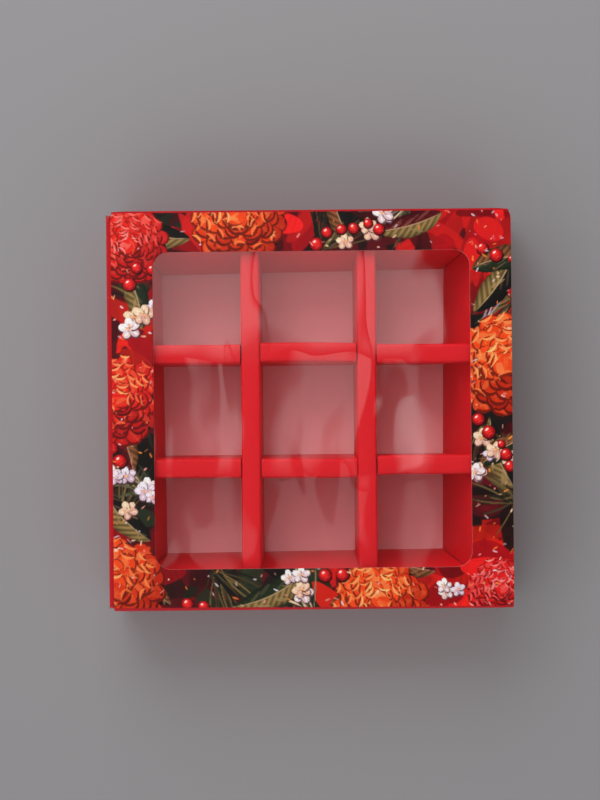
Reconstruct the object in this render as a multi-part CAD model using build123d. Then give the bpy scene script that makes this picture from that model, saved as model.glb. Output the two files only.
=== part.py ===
from build123d import *
import os

# Windowed sweet box: a printed board sleeve, open at both ends, with a clear film behind
# its window, and a tray with hollow turned-over walls that holds a folded lattice.
# Millimetres. X is the way the tray slides, and Z is up. The origin lies on the surface
# that the box stands on, under the middle of the sleeve and the tray taken together.

# Board, and what every fold, tuck and glued lap in it shares
board = 0.4
crease_radius = 0.3
tuck_gap = 0.15
glue_line = 0.05

# Sleeve
sleeve_length = 145.0
sleeve_width = 145.0
sleeve_height = 35.0
glue_flap_height = 14.0
glue_flap_bevel = 5.0

# Window and film
window_border = 15.0
window_corner_radius = 5.8
film_thickness = 0.2
film_overlap = 7.0
film_corner_radius = 2.0

# Tray
tray_shortfall = 0.4
tray_stands_out = 1.9
tray_side_clearance = 0.4
tray_floor_clearance = 0.2
tray_top_clearance = 1.0
rim_width = 10.7
wall_lean = 8.0
foot_width = 6.0
corner_slit = 0.3
corner_tab_length = 8.0
corner_tab_drop = 2.0
corner_tab_bevel = 3.0

# Lattice of folded channels
cells_along = 3
cells_across = 3
bar_width = 7.0
pitch_along = 42.3
pitch_across = 41.5
long_bars_off_middle = 0.85
lattice_below_rim = 0.8
bar_end_clearance = 0.3
notch_clearance = 0.5
notch_height_clearance = 0.3
notch_corner_radius = 0.8

# One overrun serves every cut
overrun = 2.0

# Heights, from the surface up
sleeve_ceiling = sleeve_height - board
tray_bottom = board + tray_floor_clearance
tray_floor = tray_bottom + board
tray_top = sleeve_ceiling - film_thickness - tray_top_clearance
rim_underside = tray_top - board
lattice_top = tray_top - lattice_below_rim
notch_level = (tray_floor + lattice_top) / 2

# Plan sizes: the glue flap takes its own thickness off the room between the sleeve's sides,
# and the outer cells are wider than the middle ones at the rim, because their walls lean in
flap_thickness = board + glue_line
tray_width = sleeve_width - 2 * board - flap_thickness - 2 * tray_side_clearance
tray_length = sleeve_length - tray_shortfall
mouth_width = tray_width - 2 * rim_width
mouth_length = tray_length - 2 * rim_width

# The tray stands out at the sleeve's -X end, and keeps off the flap on the +Y side
overall_length = sleeve_length + tray_stands_out
sleeve_place = Pos((overall_length - sleeve_length) / 2, 0, 0)
tray_place = Pos((tray_length - overall_length) / 2, -flap_thickness / 2, 0)


def folded_section(points):
    """Board seen edge on, from the line along the inside of its folds, which turn left."""
    corners = [Vector(*point) for point in points]
    runs = [(after - before).normalized() for before, after in zip(corners, corners[1:])]
    outward = [Vector(run.Y, -run.X) for run in runs]
    bends = [
        corner + (before + after) * (board / (1 + before.dot(after)))
        for corner, before, after in zip(corners[1:], outward, outward[1:])
    ]
    ends = corners[0] + outward[0] * board, corners[-1] + outward[-1] * board
    inside = FilletPolyline(*corners, radius=crease_radius)
    outside = FilletPolyline(ends[0], *bends, ends[1], radius=crease_radius + board)
    raw_edges = Line(inside @ 0, outside @ 0), Line(inside @ 1, outside @ 1)
    return make_face(inside.edges() + outside.edges() + [edge.edge() for edge in raw_edges])


def sleeve():
    """The band along X, from the +Y panel's raw edge over the top and round to the flap."""
    side = sleeve_width / 2 - board
    band = folded_section(
        [
            (side, 0),
            (side, sleeve_ceiling),
            (-side, sleeve_ceiling),
            (-side, board),
            (side - flap_thickness, board),
            (side - flap_thickness, glue_flap_height),
        ]
    )
    shell = extrude(Plane.YZ * band, amount=sleeve_length / 2, both=True)
    window = RectangleRounded(
        sleeve_length - 2 * window_border, sleeve_width - 2 * window_border, window_corner_radius
    )
    shell -= Pos(0, 0, sleeve_ceiling - overrun) * extrude(window, amount=board + 2 * overrun)
    for corner in flap_corners():
        shell -= corner
    return sleeve_place * shell


def flap_corners():
    """The two corners cut off the glue flap's free edge, clear of the panel behind it."""
    tip = sleeve_length / 2
    bevel = Polyline(
        (tip - glue_flap_bevel, glue_flap_height),
        (tip, glue_flap_height - glue_flap_bevel),
        (tip + overrun, glue_flap_height - glue_flap_bevel),
        (tip + overrun, glue_flap_height + overrun),
        (tip - glue_flap_bevel, glue_flap_height + overrun),
        close=True,
    )
    panel_face = sleeve_width / 2 - board
    cut = extrude(Plane.XZ * make_face(bevel), amount=-(board + overrun))
    corner = Pos(0, panel_face - glue_line / 2 - board - overrun, 0) * cut
    return corner, mirror(corner, about=Plane.YZ)


def window_film():
    """The clear sheet glued under the top panel, lapping the window all round."""
    lap = 2 * (film_overlap - window_border)
    outline = RectangleRounded(sleeve_length + lap, sleeve_width + lap, film_corner_radius)
    return sleeve_place * Pos(0, 0, sleeve_ceiling) * extrude(outline, amount=-film_thickness)


def hollow_wall(length):
    """A wall along Y with its outer face at X 0: floor edge, outer panel, rim, leaning inner
    panel and the foot tucked under the rim. Its rim and inner panel are mitred at both ends."""
    rim_edge = board - rim_width
    foot_level = tray_floor + tuck_gap + board
    section = folded_section(
        [
            (-rim_width, tray_floor),
            (-board, tray_floor),
            (-board, rim_underside),
            (rim_edge, rim_underside),
            (rim_edge - wall_lean, foot_level),
            (rim_edge - wall_lean + foot_width, foot_level),
        ]
    )
    wall = extrude(Plane.XZ * section, amount=length / 2, both=True)
    reach = rim_width + wall_lean + overrun
    corner = (length - corner_slit) / 2
    mitre = Polyline(
        (-board, corner - board),
        (-reach, corner - reach),
        (-reach, corner + overrun),
        (-board, corner + overrun),
        close=True,
    )
    beyond = Pos(0, 0, tray_bottom - overrun) * extrude(
        make_face(mitre), amount=tray_top - tray_bottom + 2 * overrun
    )
    return wall - beyond - mirror(beyond, about=Plane.XZ)


def tabbed_wall(length):
    """A hollow wall whose outer panel ends in a tab at each corner, folded in to lie behind
    the next wall's outer panel."""
    tab_face = length / 2 - 2 * board - tuck_gap
    fold = tab_face - crease_radius
    low = tray_bottom - overrun
    past_fold = Box(
        board + crease_radius + overrun,
        length / 2 - fold + overrun,
        rim_underside - crease_radius - low,
        align=(Align.MIN, Align.MIN, Align.MIN),
    )
    past_fold = Pos(-board - crease_radius, fold, low) * past_fold
    tab = corner_tab(tab_face)
    wall = hollow_wall(length) - past_fold - mirror(past_fold, about=Plane.XZ)
    return wall + tab + mirror(tab, about=Plane.XZ)


def corner_tab(tab_face):
    """The tab at a wall's +Y end, with the stretch of outer panel that carries it."""
    folded = folded_section(
        [
            (-board, tab_face - corner_tab_length),
            (-board, tab_face),
            (-board - corner_tab_length, tab_face),
        ]
    )
    tip = -board - corner_tab_length
    low = tray_floor + corner_tab_drop
    high = rim_underside - corner_tab_drop
    outline = Polyline(
        (overrun, low),
        (tip + corner_tab_bevel, low),
        (tip, low + corner_tab_bevel),
        (tip, high - corner_tab_bevel),
        (tip + corner_tab_bevel, high),
        (overrun, high),
        close=True,
    )
    profile = extrude(Plane.XZ * make_face(outline), amount=-(tab_face + overrun))
    return extrude(folded, amount=tray_top) & profile


def tray():
    """One blank: the floor, two tabbed walls along X and two plain hollow walls along Y."""
    inset = 2 * (board + crease_radius)
    floor = Pos(0, 0, tray_bottom) * extrude(
        Rectangle(tray_length - inset, tray_width - inset), amount=board
    )
    end_wall = Pos(tray_length / 2, 0, 0) * hollow_wall(tray_width)
    side_wall = Rot(Z=90) * Pos(tray_width / 2, 0, 0) * tabbed_wall(tray_length)
    half_turn = Rot(Z=180)
    return tray_place * (floor + end_wall + half_turn * end_wall + side_wall + half_turn * side_wall)


def channel(mouth):
    """A folded channel along Y, open below, standing on the tray's floor, its ends cut to
    lean with the inner walls of a mouth this wide."""
    leg = bar_width / 2 - board
    section = folded_section(
        [
            (leg, tray_floor),
            (leg, lattice_top - board),
            (-leg, lattice_top - board),
            (-leg, tray_floor),
        ]
    )
    bar = extrude(Plane.XZ * section, amount=mouth / 2, both=True)
    slope = wall_lean / (rim_underside - tray_floor)
    low = tray_floor - overrun
    high = rim_underside + overrun
    top_end = mouth / 2 - bar_end_clearance
    beyond_end = Polyline(
        (top_end - slope * (rim_underside - low), low),
        (mouth / 2 + overrun, low),
        (mouth / 2 + overrun, high),
        (top_end - slope * (rim_underside - high), high),
        close=True,
    )
    end = extrude(Plane.YZ * make_face(beyond_end), amount=bar_width / 2 + overrun, both=True)
    return bar - end - mirror(end, about=Plane.XZ)


def notch(low, high):
    """The slot across a channel along Y, between two heights, with its corners rounded."""
    slot = RectangleRounded(bar_width + 2 * notch_clearance, high - low, notch_corner_radius)
    cut = extrude(Plane.YZ * slot, amount=bar_width / 2 + overrun, both=True)
    return Pos(0, 0, (low + high) / 2) * cut


def bar_places(cells, pitch):
    """Where the bars between a row of cells stand, about the row's middle."""
    return [pitch * (bar - cells / 2) for bar in range(1, cells)]


def dividers(kind, turn, mouth, places, crossings, slot):
    """Channels of one kind at their places, turned about Z and notched at each crossing."""
    bar = channel(mouth)
    for crossing in crossings:
        bar -= Pos(0, crossing, 0) * slot
    return {
        f"{kind}_divider_{number}": tray_place * Rot(Z=turn) * Pos(place, 0, 0) * bar
        for number, place in enumerate(places, start=1)
    }


def lattice():
    """Long channels along Y notched from below, and cross channels along X notched from
    above, so that the long ones run unbroken on top. A cross channel is drawn along Y too,
    and its quarter turn takes +Y to -X, so its crossings are counted from the other end."""
    lap = notch_height_clearance / 2
    from_below = notch(tray_floor - overrun, notch_level + lap)
    from_above = notch(notch_level - lap, lattice_top + overrun)
    long_places = [long_bars_off_middle + place for place in bar_places(cells_along, pitch_along)]
    long_places_turned = [-place for place in long_places]
    cross_places = bar_places(cells_across, pitch_across)
    long_bars = dividers("long", 0, mouth_width, long_places, cross_places, from_below)
    cross_bars = dividers(
        "cross", 90, mouth_length, cross_places, long_places_turned, from_above
    )
    return long_bars | cross_bars


pieces = {"sleeve": sleeve(), "window_film": window_film(), "tray": tray()} | lattice()
os.makedirs("parts", exist_ok=True)
for name, piece in pieces.items():
    export_step(piece, f"parts/{name}.step")
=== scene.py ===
import math

import bmesh
import bpy
import numpy as np
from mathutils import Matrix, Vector


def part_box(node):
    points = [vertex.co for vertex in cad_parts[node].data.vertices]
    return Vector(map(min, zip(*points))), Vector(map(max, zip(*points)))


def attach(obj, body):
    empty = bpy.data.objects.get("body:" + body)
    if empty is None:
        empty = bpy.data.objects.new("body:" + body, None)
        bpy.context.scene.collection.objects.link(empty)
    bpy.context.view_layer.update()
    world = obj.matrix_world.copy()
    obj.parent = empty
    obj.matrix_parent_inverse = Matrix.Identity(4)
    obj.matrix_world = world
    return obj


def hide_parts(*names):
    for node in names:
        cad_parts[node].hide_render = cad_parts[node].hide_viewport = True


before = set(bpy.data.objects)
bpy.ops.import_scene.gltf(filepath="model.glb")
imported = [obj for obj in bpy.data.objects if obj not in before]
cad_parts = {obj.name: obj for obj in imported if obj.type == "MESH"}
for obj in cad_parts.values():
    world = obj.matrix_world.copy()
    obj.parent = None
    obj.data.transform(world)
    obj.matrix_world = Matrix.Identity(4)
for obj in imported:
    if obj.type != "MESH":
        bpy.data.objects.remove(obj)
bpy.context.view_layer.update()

# Tray. One blank of folding boxboard, printed red on the side that ends up outside. Each wall
# is turned over at the top into a flat rim and an inner wall that leans in, so the red side
# shows in the cells while the floor keeps its bare side up.

MM = 0.001
board = 0.4 * MM
fold_radius = 0.7 * MM
arc_slack = 0.001
tuck_gap = 0.15 * MM
rim_width = 10.7 * MM
foot_width = 6.0 * MM
corner_slit = 0.3 * MM
tab_length = 8.0 * MM
tab_drop = 2.0 * MM
tab_bevel = 3.0 * MM
tab_rows = 7
tab_step = 2.0 * MM
wall_step = 3.0 * MM
weld_distance = 0.002 * MM
inner_wall_leans = (
    # how far each wall's foot stands in from its rim at its two ends, in mm, from +X round,
    # measured on the photograph
    (10.1, 8.8),
    (7.6, 9.1),
    (7.0, 8.2),
    (6.5, 7.4),
)
inner_wall_bows = (0.35 * MM, 0.3 * MM, 0.5 * MM, 0.25 * MM)
outer_wall_bow = 0.2 * MM
tray_low, tray_high = (np.array(corner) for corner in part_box("tray"))
tray_middle = (tray_low + tray_high) / 2
tray_half = (tray_high - tray_low) / 2
red_ink = (0.71, 0.007, 0.014)
# a deeper red for the sleeve's sides and the tray's outer walls, and how far it reaches onto the
# rim: deeper ink that is also painted shade
deep_ink_and_shade = (0.49, 0.007, 0.013)
deep_and_shade_overlap = 2.2 * MM
# the bare board's pale tone, painted pink for red light thrown on it by the red walls and bars
bare_and_bounce_tone = (0.92, 0.36, 0.375)
core_tone = (0.62, 0.33, 0.30)
# lighter red along the folds: ink rubbed off, and a painted highlight where the folds catch the
# light
rubbed_and_highlit_ink = (0.82, 0.045, 0.055)
board_gloss = 0.2
fibre_stretch = (0.35, 1.0, 1.0)
fibre_detail, cloud_detail, rub_and_highlight_detail = 4, 2, 5
grain_low, grain_high = 0.2, 0.8
rough_stray = 0.15
rub_and_highlight_scale = 420
rub_and_highlight_reach = 0.38
rub_and_highlight_softness = 0.25


def folded_line(corners, radius=fold_radius * (1 - arc_slack), steps=6):
    """Points along a board's outer face seen edge on. Each corner gives way to an arc of the
    radius that touches both its runs, drawn by sweeping from one tangent point to the other.
    The slack keeps some length in a run that is no longer than its fold's radius."""
    corners = np.array(corners, float)
    line = [corners[:1]]
    share = np.linspace(0, 1, steps)[:, None]
    for before, corner, after in zip(corners, corners[1:], corners[2:]):
        back = (before - corner) / np.linalg.norm(before - corner)
        ahead = (after - corner) / np.linalg.norm(after - corner)
        half = math.acos(np.clip(back @ ahead, -1, 1)) / 2
        middle = (back + ahead) / np.linalg.norm(back + ahead)
        centre = corner + middle * radius / math.sin(half)
        start = corner + back * radius / math.tan(half) - centre
        end = corner + ahead * radius / math.tan(half) - centre
        turn = math.pi - 2 * half
        swept = np.sin((1 - share) * turn) * start + np.sin(share * turn) * end
        line.append(centre + swept / math.sin(turn))
    line.append(corners[-1:])
    return np.concatenate(line)


def refined(line, step):
    """The same line with its straight runs cut into equal lengths no longer than step."""
    parts = [line[:1]]
    for start, end in zip(line, line[1:]):
        cuts = max(1, math.ceil(np.linalg.norm(end - start) / step))
        shares = np.arange(1, cuts + 1)[:, None] / cuts
        parts.append(start + (end - start) * shares)
    return np.concatenate(parts)


def creased(line, full_turn=math.radians(12)):
    """How much each point of a line lies on a fold, from 0 on a straight run to 1 where the
    line turns by full_turn or more."""
    runs = np.diff(line, axis=0)
    headings = np.unwrap(np.arctan2(runs[:, 1], runs[:, 0]))
    turns = np.abs(np.diff(headings))
    return np.clip(np.pad(turns, 1) / full_turn, 0, 1)


def grid_faces(rows, columns, keep=None):
    """Quads over a grid of points, row by row, turned so that a face looks along the column
    direction crossed with the row direction. keep is a mask of the quads that stay."""
    corner = np.arange((rows - 1) * (columns - 1))
    corner = corner // (columns - 1) * columns + corner % (columns - 1)
    quads = np.stack([corner, corner + 1, corner + columns + 1, corner + columns], 1)
    return quads if keep is None else quads[keep.ravel()]


def turned(points, quarter_turns):
    """The points turned about Z by a number of quarter turns."""
    angle = quarter_turns * math.pi / 2
    c, s = round(math.cos(angle)), round(math.sin(angle))
    return points @ np.array([[c, s, 0], [-s, c, 0], [0, 0, 1]], float)


def new_mesh(name, points, faces):
    """A mesh from an array of points, whatever its shape but for its last axis, and faces."""
    mesh = bpy.data.meshes.new(name)
    mesh.from_pydata(points.reshape(-1, 3).tolist(), [], faces.tolist())
    return mesh


def new_object(name, data):
    """An object for a mesh, a lamp or a camera, linked to the scene."""
    made = bpy.data.objects.new(name, data)
    bpy.context.scene.collection.objects.link(made)
    return made


def thickened(piece, thickness):
    """Gives a sheet its thickness with a Solidify that grows it away from its drawn face."""
    solid = piece.modifiers.new("thickness", "SOLIDIFY")
    solid.thickness = thickness
    solid.offset = -1
    return solid


def sheet_of_board(name, grids, materials, smooth_angle=35):
    """An object from grids of points on the board's printed face, each given as its points,
    its faces and how far it lies on a fold, which carries the lighter red of rubbed ink and a
    painted highlight. Solidify grows the board from there, away from the printed side,
    with the bare face and the cut edge in the second and third materials."""
    points = np.concatenate([p.reshape(-1, 3) for p, _, _ in grids])
    rubbed_and_highlit = np.concatenate([np.broadcast_to(w, p.shape[:-1]).ravel() for p, _, w in grids])
    starts = np.cumsum([0] + [p.size // 3 for p, _, _ in grids[:-1]])
    faces = np.concatenate([f + start for start, (_, f, _) in zip(starts, grids)])
    mesh = new_mesh(name, points, faces)
    mesh.attributes.new("rub_and_highlight", "FLOAT", "POINT").data.foreach_set("value", rubbed_and_highlit.astype("f"))
    joined = bmesh.new()
    joined.from_mesh(mesh)
    bmesh.ops.remove_doubles(joined, verts=joined.verts, dist=weld_distance)
    joined.to_mesh(mesh)
    joined.free()
    mesh.shade_smooth()
    mesh.set_sharp_from_angle(angle=math.radians(smooth_angle))
    used = np.empty(len(mesh.loops), np.int32)
    mesh.loops.foreach_get("edge_index", used)
    sharp = np.empty(len(mesh.edges), bool)
    mesh.edges.foreach_get("use_edge_sharp", sharp)
    sharp |= np.bincount(used, minlength=len(sharp)) == 1
    mesh.edges.foreach_set("use_edge_sharp", sharp)
    for material in materials:
        mesh.materials.append(material)
    piece = new_object(name, mesh)
    solid = thickened(piece, board)
    solid.use_even_offset = True
    solid.material_offset = 1
    solid.material_offset_rim = 2
    return piece


def lean_of(side, share):
    """How far a wall's foot stands in from its rim at a share of its run from -1 to 1."""
    first, last = inner_wall_leans[side % 4]
    return (first + (last - first) * (share + 1) / 2) * MM


def wall(side, half_out, half_along, tabbed, columns):
    """A hollow wall towards +X: profile rows (distance in from the outer face, height) by
    columns along Y. The inner wall is drawn upright and sheared in by its lean, its ends
    follow the leans of its two neighbours, and each panel bows by half a sine."""
    low, high = tray_low[2], tray_high[2]
    foot = low + board + tuck_gap
    corners = [
        (-fold_radius * (1 + arc_slack), low),
        (0, low),
        (0, high),
        (-rim_width, high),
        (-rim_width, foot),
        (-rim_width + foot_width, foot),
    ]
    line = refined(folded_line(corners)[1:], wall_step)
    u, z = line.T
    inner = np.arange(len(z)) > np.argmin(np.abs(u + rim_width / 2))
    drop = np.where(inner, np.clip((high - z) / (high - foot), 0, 1), 0)
    panel = half_along - (board + tuck_gap + fold_radius if tabbed else 0)
    half = np.where(u < -fold_radius / 2, half_along - corner_slit / 2 + u, panel)
    half = np.where((z < low + fold_radius) & (u > -fold_radius), np.minimum(panel, half), half)
    half = np.where(drop > 0.5, half_along - corner_slit / 2 - rim_width, half)
    half[0] = half_along - fold_radius
    share = np.linspace(-1, 1, columns)
    before = half - drop * lean_of(side - 1, 1)
    after = half - drop * lean_of(side + 1, -1)
    along = np.where(share < 0, before[:, None], after[:, None]) * share
    height = np.sin(np.pi * np.clip((z - foot) / (high - foot), 0, 1))[:, None]
    swell = height * np.cos(share * np.pi / 2)
    bow = np.where(inner, inner_wall_bows[side], outer_wall_bow)
    u = u[:, None] - swell * bow[:, None] - drop[:, None] * lean_of(side, share)
    points = np.stack([half_out + u, along, np.broadcast_to(z[:, None], u.shape)], -1)
    return points, grid_faces(len(z), columns), creased(line)[:, None]


def corner_tab(half_out, half_along, end):
    """The tab that a tabbed wall turns in behind its neighbour: rows follow the fold seen from
    above, columns climb, and the tip is cut on the bevel."""
    face = half_along - board - tuck_gap
    corners = [(0, face - fold_radius), (0, face), (-tab_length - board, face)]
    line = refined(folded_line(corners)[1:], tab_step)
    to_tip = line[:, 0] + tab_length + board
    rise = tab_drop + np.clip(tab_bevel - to_tip, 0, None)
    low = tray_low[2] + board + rise
    high = tray_high[2] - board - rise
    z = low[:, None] + (high - low)[:, None] * np.linspace(0, 1, tab_rows)
    u = np.broadcast_to(line[:, :1], z.shape)
    along = np.broadcast_to(line[:, 1:], z.shape) * end
    points = np.stack([half_out + u, along, z], -1)
    faces = grid_faces(*z.shape)
    return points, faces[:, ::-1] if end > 0 else faces, creased(line)[:, None]


def tray_blank(columns=41):
    """The tray's grids: the floor, then the four walls from +X round, tabbed along X."""
    share = np.linspace(-1, 1, columns)
    x = share * (tray_half[0] - fold_radius)
    y = share * (tray_half[1] - fold_radius)
    floor = np.stack(np.broadcast_arrays(x[:, None], y[None, :], tray_low[2]), -1)
    grids = [(floor, grid_faces(columns, columns), 0.0)]
    for side in range(4):
        tabbed = side % 2 == 1
        out, along = (tray_half[1], tray_half[0]) if tabbed else (tray_half[0], tray_half[1])
        pieces = [wall(side, out, along, tabbed, columns)]
        if tabbed:
            pieces += [corner_tab(out, along, end) for end in (-1, 1)]
        grids += [(turned(points, side), faces, rubbed_and_highlit) for points, faces, rubbed_and_highlit in pieces]
    middle = np.array([tray_middle[0], tray_middle[1], 0])
    return [(points + middle, faces, rubbed_and_highlit) for points, faces, rubbed_and_highlit in grids]


def shader_group(name, inputs, outputs):
    """An empty node group with float sockets, and its input and output nodes."""
    group = bpy.data.node_groups.new(name, "ShaderNodeTree")
    for socket in inputs:
        group.interface.new_socket(socket, in_out="INPUT", socket_type="NodeSocketFloat")
    for socket in outputs:
        group.interface.new_socket(socket, in_out="OUTPUT", socket_type="NodeSocketFloat")
    given, result = group.nodes.new("NodeGroupInput"), group.nodes.new("NodeGroupOutput")
    return group, given, result


def noise(tree, scale, detail, vector=None):
    """A noise texture whose scale is a number or comes from a socket."""
    texture = tree.nodes.new("ShaderNodeTexNoise")
    texture.inputs["Detail"].default_value = detail
    if isinstance(scale, (int, float)):
        texture.inputs["Scale"].default_value = scale
    else:
        tree.links.new(scale, texture.inputs["Scale"])
    if vector:
        tree.links.new(vector, texture.inputs["Vector"])
    return texture.outputs["Fac"]


def sums(tree, operation, first, second=0.0, third=0.0):
    """A Math node over sockets or numbers."""
    node = tree.nodes.new("ShaderNodeMath")
    node.operation = operation
    for socket, value in zip(node.inputs, (first, second, third)):
        if isinstance(value, (int, float)):
            socket.default_value = value
        else:
            tree.links.new(value, socket)
    return node.outputs[0]


def ranged(tree, value, low, high, new_low, new_high):
    """A Map Range node that takes low..high to new_low..new_high and stops at both ends."""
    node = tree.nodes.new("ShaderNodeMapRange")
    for socket, number in zip(node.inputs[1:5], (low, high, new_low, new_high)):
        socket.default_value = number
    tree.links.new(value, node.inputs["Value"])
    return node.outputs["Result"]


def tinted(tree, mask, first, second):
    """A colour that goes from first to second with the mask; either may be a socket."""
    node = tree.nodes.new("ShaderNodeMix")
    node.data_type = "RGBA"
    tree.links.new(mask, node.inputs["Factor"])
    for socket, colour in ((node.inputs["A"], first), (node.inputs["B"], second)):
        if isinstance(colour, tuple):
            socket.default_value = (*[min(1, c) for c in colour], 1)
        else:
            tree.links.new(colour, socket)
    return node.outputs["Result"]


def parted(tree, vector):
    """The X, Y and Z of a vector socket."""
    node = tree.nodes.new("ShaderNodeSeparateXYZ")
    tree.links.new(vector, node.inputs["Vector"])
    return node.outputs


def bumped(tree, height, distance):
    """The normal of a Bump node over a height socket."""
    node = tree.nodes.new("ShaderNodeBump")
    node.inputs["Distance"].default_value = distance
    tree.links.new(height, node.inputs["Height"])
    return node.outputs["Normal"]


def new_material(name):
    """A material, its node tree and its Principled shader."""
    material = bpy.data.materials.new(name)
    material.use_nodes = True
    return material, material.node_tree, material.node_tree.nodes["Principled BSDF"]


def board_grain():
    """A group for the fibre of coated board: fine streaks drawn out one way over cloudy
    patches. Mask lies about one half, and Height is for a Bump node."""
    group, given, result = shader_group(
        "board grain", ("Fibre Scale", "Cloud Scale"), ("Mask", "Height")
    )
    place = group.nodes.new("ShaderNodeTexCoord")
    stretch = group.nodes.new("ShaderNodeMapping")
    stretch.inputs["Scale"].default_value = fibre_stretch
    group.links.new(place.outputs["Object"], stretch.inputs["Vector"])
    fibre = noise(group, given.outputs["Fibre Scale"], fibre_detail, stretch.outputs["Vector"])
    cloud = noise(group, given.outputs["Cloud Scale"], cloud_detail, place.outputs["Object"])
    halves = [sums(group, "MULTIPLY", layer, 0.5) for layer in (fibre, cloud)]
    group.links.new(sums(group, "ADD", *halves), result.inputs["Mask"])
    group.links.new(fibre, result.inputs["Height"])
    return group


def fold_rub_and_highlight():
    """A group for the lighter red along folds, partly ink rubbed off and partly a painted
    highlight:
    the fold marks painted on the mesh, broken up by noise so that only its high spots show. Reach
    0 hides it and 1 covers the whole fold."""
    group, given, result = shader_group("fold wear", ("Scale", "Reach"), ("Mask",))
    painted = group.nodes.new("ShaderNodeAttribute")
    painted.attribute_name = "rub_and_highlight"
    place = group.nodes.new("ShaderNodeTexCoord")
    broken = noise(group, given.outputs["Scale"], rub_and_highlight_detail, place.outputs["Object"])
    lifted = sums(group, "ADD", broken, sums(group, "SUBTRACT", given.outputs["Reach"], 1.0))
    spots = ranged(group, lifted, 0.0, rub_and_highlight_softness, 0.0, 1.0)
    group.links.new(sums(group, "MULTIPLY", spots, painted.outputs["Fac"]), result.inputs["Mask"])
    return group


grain_group = board_grain()
rub_and_highlight_group = fold_rub_and_highlight()


def placed_group(tree, group, **values):
    """A group's node in a material, with its input sockets set."""
    node = tree.nodes.new("ShaderNodeGroup")
    node.node_tree = group
    for socket, value in values.items():
        node.inputs[socket.replace("_", " ")].default_value = value
    return node


def board_material(name, tone, spread, roughness, relief, fibre=1800, cloud=60, rubbed_and_highlit=None,
                   outside=None):
    """Board with its grain: the tone strays by spread to both sides with the grain's mask, the
    roughness strays too, the fibre stands relief high, the fold colour is a lighter red along the
    folds that is partly rubbed ink and partly a painted highlight, and outside is the darker
    colour of the tray's outer walls, which is also painted shade."""
    material, tree, shader = new_material(name)
    grain = placed_group(tree, grain_group, Fibre_Scale=fibre, Cloud_Scale=cloud)
    dark, light = (tuple(c * (1 + side * spread) for c in tone) for side in (-1, 1))
    colour = tinted(tree, grain.outputs["Mask"], dark, light)
    smooth, coarse = (roughness * (1 + side * rough_stray) for side in (-1, 1))
    rough = ranged(tree, grain.outputs["Mask"], grain_low, grain_high, smooth, coarse)
    if outside:
        colour = tinted(tree, outside_mask(tree), colour, outside)
    # along the folds, rubbed ink and a painted highlight
    if rubbed_and_highlit:
        rub_and_highlight = placed_group(tree, rub_and_highlight_group, Scale=rub_and_highlight_scale, Reach=rub_and_highlight_reach)
        colour = tinted(tree, rub_and_highlight.outputs["Mask"], colour, rubbed_and_highlit)
    normal = bumped(tree, grain.outputs["Height"], relief)
    tree.links.new(colour, shader.inputs["Base Color"])
    tree.links.new(rough, shader.inputs["Roughness"])
    tree.links.new(normal, shader.inputs["Normal"])
    shader.inputs["Specular IOR Level"].default_value = board_gloss
    return material


def outside_mask(tree):
    """1 on the tray's outer walls and on the first stretch of the rim, where the deeper red also
    paints in shade, 0 inside.
    """
    place = parted(tree, tree.nodes.new("ShaderNodeTexCoord").outputs["Object"])
    past = []
    for axis in (0, 1):
        away = sums(tree, "SUBTRACT", place[axis], float(tray_middle[axis]))
        away = sums(tree, "ABSOLUTE", away)
        past.append(sums(tree, "SUBTRACT", away, float(tray_half[axis]) - deep_and_shade_overlap))
    return sums(tree, "GREATER_THAN", sums(tree, "MAXIMUM", *past), 0.0)


inked = {"spread": 0.05, "roughness": 0.45, "relief": 0.004 * MM, "rubbed_and_highlit": rubbed_and_highlit_ink}
red_board = board_material("red printed board", red_ink, **inked)
# the next two boards carry the deeper red on the sleeve's sides and the tray's outside, which also
# paints in their shade
deep_and_shaded_board = board_material("deep red printed board", deep_ink_and_shade, **inked)
tray_board = board_material("tray's printed board", red_ink, outside=deep_ink_and_shade, **inked)
# the bare side, its pink a painted tint of light bounced off the red board
bare_board_pink_lit = board_material(
    "bare inner board", bare_and_bounce_tone, spread=0.04, roughness=0.8, relief=0.01 * MM
)
cut_edge = board_material(
    "cut board edge", core_tone, spread=0.12, roughness=0.9, relief=0.02 * MM, fibre=3000,
    cloud=300
)
tray = sheet_of_board("tray_blank", tray_blank(), (tray_board, bare_board_pink_lit, cut_edge))
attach(tray, "tray")
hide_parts("tray")

# Dividers. Each is a strip of the same red board folded into a channel, open below, that
# stands on the tray's floor. The long ones are notched from below and the cross ones from
# above, so that they lap and the long ones run unbroken on top.

notch_clearance = 0.2 * MM
notch_lap = 0.15 * MM
bar_fold_radius = 1.1 * MM
bar_leg_step = 2.6 * MM
bar_step = 2.0 * MM
bar_shapes = {
    # places along the bar, how far its top strays sideways there, how far each of its feet
    # stands out, and how deep its top dips, all in mm, measured on the photograph
    "long_divider_1": ((-58, -11, 36), (-0.2, 0.1, 0.1), 0.35, 0.10),
    "long_divider_2": ((-58, -11, 36), (0.0, -0.1, 0.2), 0.35, 0.15),
    "cross_divider_1": (
        (-50, -33, -16, 0, 15, 22, 30, 50),
        (0.0, -0.1, -0.3, -0.4, -0.6, 0.0, 0.7, 0.5),
        0.15,
        0.30,
    ),
    "cross_divider_2": (
        (-50, -33, -24, -16, 5, 20, 30, 50),
        (0.0, -0.2, 0.0, 0.5, 0.5, 0.0, -0.5, -0.5),
        0.40,
        0.25,
    ),
}
sway_window = 5
dip_run = 9
bar_sides = (red_board, bare_board_pink_lit, cut_edge)
places = {name: np.add(*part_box(name)) / 2 for name in bar_shapes}
crossing_lines = {
    "long": [places[f"cross_divider_{number}"][1] for number in (1, 2)],
    "cross": [places[f"long_divider_{number}"][0] for number in (1, 2)],
}


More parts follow.
